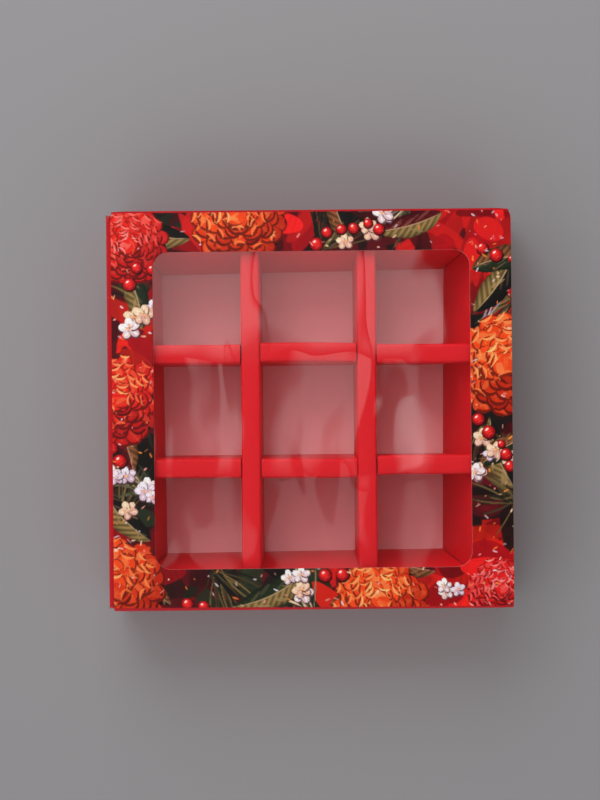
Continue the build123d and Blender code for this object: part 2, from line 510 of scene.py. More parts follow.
def channel(name, kind):
    """A divider in place: profile rows across (up one leg, over the top and down the other) by
    columns along. Quads over a notch are left out, the ends lean with the tray's inner walls,
    and the strip's sway and dip are smooth curves along it that fade to nothing at its foot."""
    is_long = kind == "long"
    low, high = (np.array(corner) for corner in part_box(name))
    across, run = (0, 1) if is_long else (1, 0)
    half_width, half_run = (high - low)[[across, run]] / 2
    middle = places[name]
    crossings = np.array(crossing_lines[kind]) - middle[run]
    floor, top = low[2], high[2]
    level = (floor + top) / 2 + (notch_lap if is_long else -notch_lap)
    line = folded_line(
        [(half_width, floor), (half_width, top), (-half_width, top), (-half_width, floor)],
        bar_fold_radius,
    )
    line = np.insert(line, [1, len(line) - 1], [(half_width, level), (-half_width, level)], 0)
    line = refined(line, bar_leg_step)
    u, z = line.T
    half_notch = half_width + notch_clearance
    edges = np.concatenate([[-half_run, half_run], crossings - half_notch, crossings + half_notch])
    stations = refined(np.sort(edges)[:, None], bar_step)[:, 0]
    share = (middle[across] - tray_middle[across]) / tray_half[across]
    drop = (top - z) / (tray_high[2] - tray_low[2] - 2 * board)
    before = drop[:, None] * (lean_of(3, share) if is_long else lean_of(2, -share))
    after = drop[:, None] * (lean_of(1, -share) if is_long else lean_of(0, share))
    first, last = crossings.min() - half_notch, crossings.max() + half_notch
    along = (
        stations
        + before * np.clip((first - stations) / (first + half_run), 0, 1)
        - after * np.clip((stations - last) / (half_run - last), 0, 1)
    )
    centres = (stations[1:] + stations[:-1]) / 2
    in_notch = np.any(np.abs(centres[:, None] - crossings) < half_notch, axis=1)
    heights = (z[1:] + z[:-1]) / 2
    cut_rows = heights < level if is_long else heights > level
    keep = ~(cut_rows[:, None] & in_notch[None, :])
    spots = stations / MM
    knots, sways, spread, droop = bar_shapes[name]
    sway = np.pad(np.interp(spots, knots, sways) * MM, sway_window // 2, mode="edge")
    sway = np.convolve(sway, np.ones(sway_window) / sway_window, mode="valid")
    standing = np.clip((z - floor) / (top - floor), 0, 1)[:, None]
    dip = droop * MM * (1 + np.sin(spots / dip_run + middle[across] / MM)) / 2
    points = np.empty(along.shape + (3,))
    flare = spread * MM * u[:, None] / half_width * (1 - standing)
    points[..., across] = middle[across] + u[:, None] + flare + sway * standing
    points[..., run] = middle[run] + along
    points[..., 2] = z[:, None] - dip * standing
    faces = grid_faces(len(z), len(stations), keep)
    return points, faces if is_long else faces[:, ::-1], creased(line)[:, None]


for number in (1, 2):
    for kind in ("long", "cross"):
        node = f"{kind}_divider_{number}"
        bar = sheet_of_board(f"{node}_channel", [channel(node, kind)], bar_sides)
        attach(bar, "tray")
        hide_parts(node)

# Window film. A sheet of clear PET glued by its margin under the sleeve's top panel. It was
# glued slack, so it stands in long shallow waves across the window, and their slopes break
# every reflection in it into flame shapes.

film_low, film_high = (np.array(corner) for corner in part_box("window_film"))
sleeve_low, sleeve_high = (np.array(corner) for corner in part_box("sleeve"))
sleeve_middle = (sleeve_low + sleeve_high) / 2
film_half = (film_high - film_low)[:2] / 2
film_thickness = film_high[2] - film_low[2]
film_gap = 0.06 * MM
film_step = 0.75 * MM
window_half = 57.5 * MM
film_waves = (
    # across, along, heading of the crest in degrees, height, phase, all lengths in mm. These
    # rows, the puckers and the sag weren't chosen by hand: a separate search program fitted
    # them to the photograph's reflections in the film
    (15.1, 51.2, 67, 0.0052, -0.63),
    (34.5, 94.1, 130, 0.0300, 1.00),
    (63.5, 51.0, 8, 0.0300, 2.20),
)
film_puckers = (
    # middle x, middle y, length, width, heading of the crest in degrees, height
    (-45.8, 12.0, 19.7, 15.1, 138, -0.027),
    (-32.7, 17.4, 38.0, 5.0, 92, 0.036),
    (-45.6, -53.8, 14.0, 24.7, 36, 0.061),
    (5.3, -34.1, 51.6, 6.4, 66, 0.020),
    (10.0, -30.9, 32.2, 5.0, 84, -0.062),
    (4.5, 32.2, 14.4, 9.8, 80, -0.031),
    (22.4, 15.0, 39.2, 8.5, 84, 0.046),
    (35.7, -1.1, 15.0, 17.2, 83, -0.087),
    (32.8, -14.2, 41.3, 14.6, 40, -0.078),
    (52.0, 19.1, 100.8, 11.2, 91, 0.041),
    (-53.8, -1.6, 56.5, 12.9, 80, 0.056),
    (20.7, -13.3, 54.9, 11.4, 71, -0.079),
    (-18.2, -44.4, 20.4, 11.1, 105, 0.026),
    (1.8, 13.2, 49.4, 27.8, 73, 0.028),
    (8.8, -25.8, 22.6, 8.7, 66, -0.033),
    (1.6, -34.1, 36.8, 6.4, 110, 0.040),
    (-45.5, -0.7, 26.4, 10.2, 92, 0.033),
    (-31.2, -49.5, 25.8, 9.3, 139, -0.026),
    (-14.1, -39.4, 33.3, 8.6, 64, 0.051),
    (6.3, 35.9, 18.8, 8.4, 58, -0.033),
    (39.9, 21.9, 44.1, 5.1, 40, -0.004),
    (-43.4, 23.2, 34.1, 9.7, 113, -0.026),
    (-47.4, -29.4, 37.6, 8.3, 108, -0.026),
    (-32.8, -18.4, 21.7, 9.0, 64, 0.019),
    (17.9, -50.4, 23.2, 8.1, 111, -0.033),
    (-40.9, -45.6, 24.7, 7.5, 42, 0.023),
    (-0.9, -17.1, 68.5, 9.3, 87, 0.076),
    (6.4, -33.2, 60.9, 10.2, 81, -0.082),
    (-31.0, -28.1, 40.6, 8.2, 94, 0.022),
    (-42.1, -33.5, 40.9, 8.7, 103, -0.025),
)
film_sag = 0.1
crest_stray, crest_run = 3.5, 17
pin_ahead, pin_reach = 1.5, 9
film_tint = (0.985, 0.985, 0.99, 1)
film_shade = (0.97, 0.97, 0.97, 1)
film_index = 1.5


def crest_axes(x, y, heading):
    """How far places lie along a crest that points to heading, and across it."""
    c, s = math.cos(math.radians(heading)), math.sin(math.radians(heading))
    return x * c + y * s, y * c - x * s


def film_rise(x, y):
    """Height of the slack film above its glued plane, in mm: crests that are sines across and
    slow sines along, plus single puckers with bell-shaped sections, less the sag. It is all
    pinned at the window by a smooth step that starts pin_ahead outside it."""
    rise = np.zeros_like(x)
    for across, along, heading, height, phase in film_waves:
        u, v = crest_axes(x, y, heading)
        bent = v + crest_stray * np.sin(u / crest_run + phase)
        slow = np.cos(2 * np.pi * u / along + phase)
        rise += height * np.sin(2 * np.pi * bent / across + phase) * slow
    for px, py, length, width, heading, height in film_puckers:
        u, v = crest_axes(x - px, y - py, heading)
        rise += height * np.exp(-((2 * u / length) ** 2) - (2 * v / width) ** 2)
    edge = window_half / MM - np.maximum(np.abs(x), np.abs(y))
    pinned = np.clip((edge + pin_ahead) / pin_reach, 0, 1)
    return (rise - film_sag) * pinned * pinned * (3 - 2 * pinned)


def film_sheet():
    """The film's upper face as a square grid, lowered by its rise under the window."""
    count = int(round(2 * film_half[0] / film_step)) + 1
    share = np.linspace(-1, 1, count)
    x, y = np.meshgrid(share * film_half[0], share * film_half[1], indexing="ij")
    z = film_high[2] - film_gap + film_rise(x / MM, y / MM) * MM
    points = np.stack([x + sleeve_middle[0], y + sleeve_middle[1], z], -1)
    return points, grid_faces(count, count)[:, ::-1]


def clear_film():
    """Clear PET: a thin refracting sheet that lets the lamps' light through to the cells."""
    material, tree, shader = new_material("clear film")
    shader.inputs["Base Color"].default_value = film_tint
    shader.inputs["Transmission Weight"].default_value = 1
    shader.inputs["IOR"].default_value = film_index
    shader.inputs["Roughness"].default_value = 0
    through = tree.nodes.new("ShaderNodeBsdfTransparent")
    through.inputs["Color"].default_value = film_shade
    path = tree.nodes.new("ShaderNodeLightPath")
    mix = tree.nodes.new("ShaderNodeMixShader")
    tree.links.new(path.outputs["Is Shadow Ray"], mix.inputs["Fac"])
    tree.links.new(shader.outputs["BSDF"], mix.inputs[1])
    tree.links.new(through.outputs["BSDF"], mix.inputs[2])
    tree.links.new(mix.outputs["Shader"], tree.nodes["Material Output"].inputs["Surface"])
    return material


mesh = new_mesh("film_sheet", *film_sheet())
mesh.shade_smooth()
mesh.materials.append(clear_film())
film = new_object("film_sheet", mesh)
thickened(film, film_thickness)
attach(film, "sleeve")
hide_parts("window_film")

# Sleeve. One blank of the same board, creased, wrapped round the tray and glued along a flap
# inside its +Y panel, with the window die-cut in the top. Its sides carry a deeper red, partly
# painted shade.

print_lift = 0.04 * MM
window_radius = 5.8 * MM
flap_height = 14.0 * MM
flap_bevel = 5.0 * MM
glue_line = 0.05 * MM
side_bow = 0.3 * MM
side_band = 0.9
panel_step = 4.0 * MM
border_columns = 6
touch = 0.001 * MM
knock_reach = 2.0
knocks = (
    # corner x, y and z signs, then how far it has been pushed in along each, in mm
    (1, 1, 1, 0.8, 0.4, 0.4),
    (-1, 1, 1, 0.25, 0.2, 0.25),
    (1, -1, 1, 0.2, 0.1, 0.2),
    (-1, -1, 1, 0.1, 0.05, 0.15),
    (1, -1, -1, 0.3, 0.2, 0.2),
    (-1, 1, -1, 0.2, 0.3, 0.2),
)
sleeve_half = (sleeve_high - sleeve_low) / 2


def handled(points):
    """What handling does to the glued sleeve: its side panels, all that lies past side_band of
    its half width, bow in by half a sine along and up, and each knocked corner is pushed in by
    a bell of reach knock_reach in mm about it."""
    local = points - sleeve_middle
    share = local / sleeve_half
    on_side = np.clip((np.abs(share[..., 1]) - side_band) / (1 - side_band), 0, 1)
    swell = np.cos(share[..., 0] * np.pi / 2) * np.cos(share[..., 2] * np.pi / 2)
    moved = points.copy()
    moved[..., 1] -= side_bow * np.sign(local[..., 1]) * on_side * swell
    for knock in knocks:
        side, push = np.array(knock[:3]), np.array(knock[3:])
        away = np.linalg.norm((local - side * sleeve_half) / MM, axis=-1) / knock_reach
        moved -= (side * push * MM) * np.exp(-away * away)[..., None]
    return moved


def window_ring(stations_x, stations_y, steps):
    """The top panel as a ring, a row for each point round the panel's edge and columns from
    the window out: each row runs straight from its point on the window's rounded outline,
    whose corner arc is shared out evenly over the panel's corner."""
    half_x, half_y = stations_x[-1], stations_y[-1]
    straight = window_half - window_radius
    right = np.stack([np.full_like(stations_y, half_x), stations_y], 1)
    far = np.stack([-stations_x[1:], np.full_like(stations_x[1:], half_y)], 1)
    half_round = np.concatenate([right, far])
    outer = np.concatenate([half_round, -half_round[1:]])
    x, y = np.abs(outer).T
    on_side = x >= half_x - touch
    run = np.where(on_side, y - straight, half_y - straight + half_x - x)
    angle = np.clip(run / (half_x + half_y - 2 * straight), 0, 1) * np.pi / 2
    inner_x = np.where(x < straight, x, straight + window_radius * np.cos(angle))
    inner_y = np.where(y < straight, y, straight + window_radius * np.sin(angle))
    inner_x = np.where(on_side & (y < straight), window_half, inner_x)
    inner_y = np.where(~on_side & (x < straight), window_half, inner_y)
    inner = np.stack([inner_x, inner_y], 1) * np.where(outer < 0, -1, 1)
    share = np.linspace(0, 1, steps + 1)[None, :, None]
    return inner[:, None] + (outer - inner)[:, None] * share


def sleeve_band():
    """The sleeve's printed face in three grids: the ring with the window, the -Y panel, bottom
    and glue flap beyond one fold of it, and the +Y panel beyond the other."""
    top = sleeve_high[2] - print_lift
    bottom = sleeve_low[2]
    half_x, half_y = sleeve_half[:2]
    fold = half_y - fold_radius
    stations = refined(np.array([[-half_x], [half_x]]), panel_step)[:, 0]
    sides = refined(np.array([[-fold], [fold]]), panel_step)[:, 0]
    ring = window_ring(stations, sides, border_columns)
    ring = np.concatenate([ring, np.full(ring.shape[:2] + (1,), top)], -1)
    flap_face = half_y - board - glue_line
    wrap = [
        (-fold, top),
        (-half_y, top),
        (-half_y, bottom),
        (flap_face, bottom),
        (flap_face, bottom + flap_height),
    ]
    panel = [(half_y, bottom), (half_y, top), (fold, top)]
    grids = [(ring, grid_faces(*ring.shape[:2]), 0.0)]
    for corners in (panel, wrap):
        line = folded_line(corners)
        line = refined(line[:-1] if corners is panel else line[1:], panel_step)
        y, z = np.broadcast_arrays(line.T[:, :, None], stations)[0]
        x = np.broadcast_to(-stations, y.shape).copy()
        if corners is wrap:
            over = line[:, 1] - bottom - flap_height
            flap = (line[:, 0] > flap_face - touch) & (over < touch)
            rise = np.where(flap, over + flap_bevel, 0)
            x *= (half_x - np.clip(rise, 0, None))[:, None] / half_x
        grids.append((np.stack([x, y, z], -1), grid_faces(*y.shape), creased(line)[:, None]))
    shift = np.array([sleeve_middle[0], sleeve_middle[1], 0])
    return [(handled(points + shift), faces, rubbed_and_highlit) for points, faces, rubbed_and_highlit in grids]


# the sleeve's outside in the deeper red, which also paints in its sides' shade
sleeve_sides = (deep_and_shaded_board, bare_board_pink_lit, cut_edge)
sleeve = sheet_of_board("sleeve_board", sleeve_band(), sleeve_sides)
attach(sleeve, "sleeve")
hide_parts("sleeve")

# Print. The top panel's artwork, laid on the board as a thin laminated skin: marigold heads,
# long leaves, blossoms, buds and grass brushed over red and dark grounds. A darker red runs over
# the folds, partly where the print is out of register and partly as painted shade of the folds.

skin_step = 0.31 * MM
skin_columns = 50
light_from = math.radians(125)
red = (0.85, 0.13, 0.13)
deep_red = (0.58, 0.05, 0.09)
maroon = (0.33, 0.07, 0.10)
green_black = (0.11, 0.10, 0.09)
brown_black = (0.16, 0.08, 0.08)
rust = (0.58, 0.09, 0.05)
orange = (0.91, 0.29, 0.12)
hot_orange = (0.87, 0.15, 0.10)
light_orange = (0.97, 0.56, 0.24)
apricot = (1.00, 0.76, 0.48)
cream = (0.96, 0.80, 0.66)
pink = (0.95, 0.62, 0.60)
lilac = (0.90, 0.85, 0.89)
ivory = (0.97, 0.92, 0.90)
olive = (0.50, 0.41, 0.25)
leaf_brown = (0.46, 0.29, 0.18)
leaf_green = (0.16, 0.19, 0.13)
bud_red = (0.93, 0.20, 0.17)
shadow_ink = (0.09, 0.02, 0.03)
# darker red along the folds: plain red where the print is out of register, and painted shade of
# the rounded folds
fold_red_and_shade = (0.66, 0.12, 0.15)
plum = (0.55, 0.30, 0.38)
white = (1.0, 1.0, 1.0)
blossom_inks = (lilac, cream, ivory)
fleck_inks = (cream, lilac, pink, light_orange)
ink_middle = 0.32
ink_contrast = 1.14
petal_rings = 8
petal_strokes = 3
leaf_lights = 7
blossom_petals = 5
blossom_stamens = 5
ground_strokes = 420
fleck_count = 260
stroke_depths = (56, 74)
fleck_depths = (57, 73)
border_reach = 74
red_band_run = (-73, 73)
red_band_widths = (0.6, 0.05)
red_band_blur = 0.15
print_gloss = 0.25
print_roughness = (0.34, 0.44)
mottle_low, mottle_high = 0.3, 0.7
mottle_range = (0.93, 1.05)
orange_peel = 0.003 * MM
grounds = (
    # middle of the field in mm, then the inks brushed over it
    ((-66, 58), (green_black, leaf_green, maroon)),
    ((-66, 20), (deep_red, maroon, hot_orange)),
    ((-66, -22), (green_black, leaf_green, brown_black)),
    ((-60, -64), (brown_black, maroon, deep_red)),
    ((-20, -66), (green_black, leaf_green, maroon)),
    ((24, -66), (red, deep_red, hot_orange)),
    ((66, -60), (red, hot_orange, deep_red)),
    ((66, -18), (brown_black, green_black, maroon)),
    ((66, 24), (green_black, leaf_green, deep_red)),
    ((64, 64), (red, red, deep_red)),
    ((22, 66), (green_black, brown_black, maroon)),
    ((-24, 66), (red, deep_red, maroon)),
)
tufts = (
    # root in mm, heading in radians, number of blades, their length, darkest and palest ink
    ((-62, 40), 2.2, 26, 20, green_black, olive),
    ((-74, 66), -0.6, 22, 18, green_black, lilac),
    ((-70, -40), 1.2, 30, 22, green_black, olive),
    ((-58, -30), 2.6, 16, 16, leaf_green, cream),
    ((4, 58), 1.0, 30, 22, green_black, olive),
    ((36, 74), -2.4, 20, 18, leaf_green, cream),
    ((74, 40), -2.2, 26, 20, green_black, olive),
    ((60, 26), 0.6, 18, 17, brown_black, lilac),
    ((74, -34), 2.6, 24, 20, green_black, olive),
    ((-36, -58), -0.9, 28, 22, green_black, olive),
    ((0, -74), 2.2, 20, 18, leaf_green, cream),
    ((62, -6), -1.2, 20, 16, brown_black, olive),
)
leaves = (
    # base, length, width, heading, bow, ink on the dark side and on the light side
    ((-44, 61), 30, 9.0, 2.9, 2.0, green_black, olive),
    ((-30, 60), 24, 8.0, 0.5, -1.5, green_black, leaf_brown),
    ((-60, 30), 26, 8.5, 1.9, -2.0, leaf_green, olive),
    ((-72, -2), 22, 8.0, -1.2, 1.5, maroon, leaf_brown),
    ((-60, -48), 28, 9.0, 2.3, 2.0, green_black, olive),
    ((-66, -54), 22, 8.0, -0.9, -1.5, green_black, leaf_brown),
    ((-2, -60), 30, 9.5, -2.7, 2.5, leaf_green, olive),
    ((6, -72), 26, 8.5, 0.35, -2.0, green_black, leaf_brown),
    ((44, -60), 26, 8.0, 2.8, 1.5, maroon, leaf_brown),
    ((72, -30), 28, 9.0, 1.9, 2.0, green_black, olive),
    ((60, -20), 24, 8.0, 0.5, 1.5, leaf_green, leaf_brown),
    ((60, 34), 30, 9.5, 1.0, -2.0, green_black, olive),
    ((58, 52), 26, 9.0, 0.15, 2.0, leaf_green, leaf_brown),
    ((48, 70), 26, 8.5, 3.4, 1.5, maroon, olive),
    ((14, 60), 24, 8.0, 1.9, 1.5, green_black, leaf_brown),
)
heads = (
    # middle and radius in mm, then the inks of its shade, its petals and its lips
    ((-66, 60), 12.5, deep_red, hot_orange, pink),
    ((-26, 70), 15.5, rust, orange, apricot),
    ((70, 16), 16.5, rust, orange, apricot),
    ((24, -70), 15.0, rust, orange, apricot),
    ((-72, -64), 16.5, rust, orange, apricot),
    ((-70, 4), 14.0, deep_red, hot_orange, apricot),
    ((68, -66), 10.5, deep_red, red, pink),
)
sprays = (
    # middle in mm, number of blossoms and how far they scatter
    ((-64, 36), 4, 6.5),
    ((20, 66), 5, 8.5),
    ((66, -18), 6, 8.5),
    ((-6, -65), 4, 6.5),
    ((-64, -30), 7, 9.0),
    ((48, -66), 3, 5.0),
)
strings = (
    # first bud in mm, heading and number of buds
    ((-66, 46), 1.2, 4),
    ((2, 60), 0.5, 6),
    ((62, 58), -1.0, 4),
    ((60, -4), -1.8, 5),
    ((4, -60), -0.6, 4),
    ((-46, -70), 0.6, 5),
    ((-70, -18), 1.3, 4),
)


def blended(first, second, share):
    """The colour that lies share of the way from first to second."""
    return np.array(first) + (np.array(second) - np.array(first)) * share


def heading_of(angle):
    """The unit vector that points at an angle."""
    return np.array((math.cos(angle), math.sin(angle)))


def dab(sheet, centre, length, width, heading, ink, bend=0.0, blunt=0.5, soft=0.16, strength=1.0,
        streak=0.07):
    """One stroke of a loaded brush on a sheet of places and colours: an oval whose half width
    is (1 - along squared) to the power blunt, bent aside by bend times along squared, with
    bristle lines lighter and darker along it."""
    spots, tones = sheet
    ahead, away = heading_of(heading), spots - centre
    along = away @ ahead * (2 / length)
    near = np.flatnonzero(np.abs(along) < 1)
    along, away = along[near], away[near]
    across = away @ np.array((-ahead[1], ahead[0])) + bend * (along * along - 0.33)
    half = width / 2 * (1 - along * along) ** blunt
    cover = np.clip((half - np.abs(across)) / soft + 0.5, 0, 1) * strength
    hit = cover > 0
    near, along, across, cover = near[hit], along[hit], across[hit], cover[hit]
    bristle = np.sin(across * 9 + centre[0] * 5 + np.sin(along * 2.5 + centre[1]) * 1.3)
    bristle += 0.5 * np.sin(across * 21 + centre[1] * 3)
    laid = np.array(ink) * (1 + streak * bristle[:, None])
    tones[near] += cover[:, None] * (laid - tones[near])


def patch(sheet, centre, reach):
    """The part of a sheet within reach of centre, and where it belongs in the whole."""
    spots, tones = sheet
    near = np.flatnonzero(((spots - centre) ** 2).sum(1) < reach * reach)
    return (spots[near], tones[near]), near


def marigold(sheet, centre, radius, deep, middle, pale, draw):
    """A full flower head: rings of ruffled petals laid from the outside in, each a dark dab
    with lighter ones on it and a pale lip, brighter on the side towards the light."""
    centre = np.array(centre, float)
    wet, near = patch(sheet, centre, radius * 1.3)
    shade = blended(deep, shadow_ink, 0.85)
    dab(wet, centre + (0.6, -0.8), radius * 2.06, radius * 2.02, 0, shade, soft=0.5)
    for share in np.linspace(0, 1, petal_rings):
        reach = radius * (0.93 - 0.86 * share ** 0.9)
        count = max(5, round(reach * 2 * math.pi / (radius * 0.34)))
        start = draw.uniform(0, 2 * math.pi)
        for petal in draw.permutation(count):
            angle = start + petal * 2 * math.pi / count + draw.normal(0, 0.06)
            place = centre + reach * draw.uniform(0.93, 1.05) * heading_of(angle)
            facing = 0.5 + 0.5 * math.cos(angle - light_from)
            lit = 0.25 + 0.75 * facing * (0.55 + 0.45 * share) + 0.18 * share * (1 - facing)
            lit = float(np.clip(lit + draw.normal(0, 0.09), 0, 1))
            length, width = draw.uniform(0.32, 0.44) * radius, draw.uniform(0.34, 0.46) * radius
            turn = angle + draw.normal(0, 0.3)
            body = blended(deep, middle, min(1, lit * 1.45))
            under = place + radius * 0.03 * (heading_of(angle) - (0, 0.8))
            dab(wet, under, length * 1.1, width * 1.1, turn, blended(body, shadow_ink, 0.5),
                blunt=0.42, soft=0.35)
            dab(wet, place, length, width, turn, body, blunt=0.38)
            for _ in range(petal_strokes):
                slip = draw.normal(0, 0.06, 2) * radius
                dab(wet, place + slip, length * 0.8, width * draw.uniform(0.18, 0.38),
                    turn + draw.normal(0, 0.3), blended(body, pale, draw.uniform(0.2, 0.65) * lit),
                    bend=draw.normal(0, 0.3), strength=0.85)
            if lit > 0.45:
                lip = place + length * 0.42 * heading_of(turn)
                dab(wet, lip, width * 0.75, radius * 0.055, turn + math.pi / 2,
                    blended(middle, pale, min(1, lit * draw.uniform(0.6, 1.2))),
                    bend=width * 0.14, strength=0.9)
    sheet[1][near] = wet[1]


def long_leaf(sheet, base, length, width, heading, bow, dark, light, draw):
    """A pointed leaf from its base: half width (1 - along squared) to the power 0.75, dark on
    one side of the rib and light on the other, with slanting veins and loose dabs of light."""
    ahead = heading_of(heading)
    aside = np.array((-ahead[1], ahead[0]))
    middle = np.array(base) + length / 2 * ahead
    rib = blended(light, cream, 0.5)
    wet, near = patch(sheet, middle, length * 0.75)
    away = wet[0] - middle
    along = away @ ahead * 2 / length
    across = away @ aside + bow * (along * along - 0.33)
    tip = np.clip(1 - along * along, 0, 1)
    half = width / 2 * tip ** 0.75 * (1 - 0.25 * along) * (1 + 0.05 * np.sin(along * 9 + length))
    cover = (np.clip((half - np.abs(across)) / 0.18, 0, 1) * (tip > 0))[:, None]
    side = np.clip(across, -0.5, 0.5)[:, None] + 0.5
    body = np.array(dark) + (np.array(light) - np.array(dark)) * side
    vein = np.sin((along * length / 2 - np.abs(across) * 1.1) * 2.3 + draw.uniform(0, 6))
    body = body * (1 + 0.16 * vein[:, None] * (0.4 + side))
    body = body * (1 - 0.35 * np.clip(np.abs(across) / (half + 1e-6), 0, 1)[:, None] ** 3)
    wet[1][:] += cover * (body - wet[1])
    for _ in range(leaf_lights):
        share = draw.uniform(-0.75, 0.8)
        off = draw.uniform(-0.35, 0.35) * width * (1 - share * share)
        spot = middle + share * length / 2 * ahead + (off - bow * (share * share - 0.33)) * aside
        ink = blended(light if off > 0 else dark, rib, draw.uniform(0.15, 0.6))
        dab(wet, spot, draw.uniform(0.12, 0.3) * length, draw.uniform(0.05, 0.14) * width,
            heading - math.copysign(0.45, off), ink, strength=0.8)
    line = (np.clip((0.28 * tip ** 0.4 - np.abs(across)) / 0.14, 0, 1) * (tip > 0))[:, None]
    wet[1][:] += line * (rib - wet[1]) * 0.9
    sheet[1][near] = wet[1]


def blossom(sheet, centre, radius, petal, draw):
    """A small open blossom of five rounded petals, each shaded towards its middle."""
    wet, near = patch(sheet, centre, radius * 1.7)
    shade = blended(petal, plum, 0.55)
    start, squash = draw.uniform(0, 2), draw.uniform(0.75, 1)
    for number in range(blossom_petals):
        angle = start + number * 2 * math.pi / blossom_petals + draw.normal(0, 0.08)
        out = heading_of(angle) * (1, squash)
        place = centre + radius * 0.55 * out
        lit = 0.5 + 0.5 * math.cos(angle - light_from)
        dab(wet, place + (0.15, -0.25), radius * 1.15, radius * 0.86, angle,
            blended(shade, shadow_ink, 0.6), blunt=0.42)
        dab(wet, place, radius * 1.02, radius * 0.74, angle,
            blended(shade, petal, 0.35 + 0.65 * lit), blunt=0.42)
        dab(wet, place + radius * 0.12 * out, radius * 0.6, radius * 0.2,
            angle + draw.normal(0, 0.3), blended(petal, white, 0.25 * lit), strength=0.8)
        dab(wet, centre + radius * 0.25 * out, radius * 0.5, radius * 0.14, angle, shade,
            strength=0.8)
    for _ in range(blossom_stamens):
        dab(wet, centre + draw.normal(0, 0.11, 2) * radius, radius * 0.2, radius * 0.16, 0,
            blended(light_orange, ivory, draw.uniform(0, 0.6)))
    sheet[1][near] = wet[1]


def bud(sheet, centre, radius, draw):
    """A glossy round bud: a dark rim, a bright side towards the light and a glint on top."""
    wet, near = patch(sheet, centre, radius * 1.5)
    lean = radius * 0.28 * heading_of(light_from)
    cross = light_from + math.pi / 2
    dab(wet, centre + (0.2, -0.3), radius * 2.3, radius * 2.3, 0,
        blended(deep_red, shadow_ink, 0.8))
    dab(wet, centre, radius * 2, radius * 2, 0, deep_red)
    dab(wet, centre + lean * 0.6, radius * 1.5, radius * 1.45, draw.uniform(0, 3),
        blended(deep_red, bud_red, 0.6), soft=radius * 0.4)
    dab(wet, centre + lean * 1.1, radius * 0.95, radius * 0.85, 0.6, bud_red, soft=radius * 0.3)
    dab(wet, centre + lean * 1.7, radius * 0.5, radius * 0.28, cross, ivory)
    dab(wet, centre - lean * 1.9, radius, radius * 0.16, cross, blended(bud_red, pink, 0.3),
        bend=-radius * 0.25, strength=0.6)
    sheet[1][near] = wet[1]


def tuft(sheet, root, heading, count, length, dark, light, draw):
    """Narrow grass blades that fan out from one root."""
    wet, near = patch(sheet, root + length * 0.5 * heading_of(heading), length * 0.85)
    for _ in range(count):
        turn = heading + draw.normal(0, 0.5)
        reach = length * draw.uniform(0.55, 1.1)
        middle = root + reach / 2 * heading_of(turn) + draw.normal(0, 0.7, 2)
        dab(wet, middle, reach, draw.uniform(0.42, 0.91), turn,
            blended(dark, light, draw.uniform(0, 1) ** 1.6), bend=draw.normal(0, 1.2), blunt=0.8,
            soft=0.12)
    sheet[1][near] = wet[1]


def on_the_border(draw, inner, outer):
    """A place somewhere on the panel's border, between two distances from its middle lines."""
    side, run = draw.integers(4), draw.uniform(-border_reach, border_reach)
    depth = draw.uniform(inner, outer)
    return np.array([(run, depth), (depth, run), (run, -depth), (-depth, run)][side])


def painted(spots, seed=41):
    """The artwork's colours at places in mm about the panel's middle, laid in this order:
    grounds, grass, leaves, flower heads, blossoms, buds and loose flecks. At the end all of it
    is drawn apart by ink_contrast about ink_middle."""
    draw = np.random.default_rng(seed)
    sheet = spots, np.tile(np.array(maroon), (len(spots), 1))
    fields = np.array([middle for middle, _ in grounds], float)
    for _ in range(ground_strokes):
        spot = on_the_border(draw, *stroke_depths)
        inks = grounds[((fields - spot - draw.normal(0, 5, 2)) ** 2).sum(1).argmin()][1]
        ink = np.array(inks[draw.integers(len(inks))]) * draw.uniform(0.7, 1.15)
        dab(sheet, spot, draw.uniform(9, 26), draw.uniform(3, 9), draw.uniform(0, math.pi), ink,
            bend=draw.normal(0, 1.5), soft=0.5, strength=0.85, streak=0.08)
    for row in tufts:
        tuft(sheet, *row, draw)
    for row in leaves:
        long_leaf(sheet, *row, draw)
    for row in heads:
        marigold(sheet, *row, draw)
    for middle, count, scatter in sprays:
        for _ in range(count):
            spot = np.array(middle) + draw.uniform(-1, 1, 2) * scatter
            radius = draw.uniform(2.4, 4.0)
            blossom(sheet, spot, radius, blossom_inks[draw.integers(len(blossom_inks))], draw)
    for first, turn, count in strings:
        spot = np.array(first, float)
        for _ in range(count):
            radius = draw.uniform(1.2, 2.4)
            bud(sheet, spot, radius, draw)
            turn += draw.normal(0, 0.5)
            spot = spot + radius * draw.uniform(2.0, 3.0) * heading_of(turn)
    for _ in range(fleck_count):
        fleck = fleck_inks[draw.integers(len(fleck_inks))]
        spot = on_the_border(draw, *fleck_depths)
        dab(sheet, spot, draw.uniform(0.5, 2.2), draw.uniform(0.3, 0.7),
            draw.uniform(0, math.pi), fleck, strength=draw.uniform(0.5, 0.95))
    return np.clip(ink_middle + ink_contrast * (sheet[1] - ink_middle), 0, 1)


def misregister_and_fold_shade(spots, tones):
    """A darker red along the two folds, partly print out of register and partly painted shade of
    the rounded folds: as wide in mm on the -Y fold as red_band_widths says for both ends of
    red_band_run, and a hair's width on the +Y fold, both with a slight waver."""
    x, y = spots.T
    low_edge = -half_panel[1] + np.interp(x, red_band_run, red_band_widths) + 0.06 * np.sin(x * 1.7)
    high_edge = half_panel[1] - red_band_widths[1] + 0.05 * np.sin(x * 1.3)
    past = np.maximum(low_edge - y, y - high_edge)
    bare = np.clip(past / red_band_blur, 0, 1)[:, None]
    return tones + bare * (np.array(fold_red_and_shade) - tones)


half_panel = np.array([sleeve_half[0], sleeve_half[1] - fold_radius]) / MM
stations = [refined(np.array([[-half], [half]]) * MM, skin_step)[:, 0] for half in half_panel]
skin = window_ring(*stations, skin_columns)
spots = skin.reshape(-1, 2) / MM
tones = misregister_and_fold_shade(spots, painted(spots))
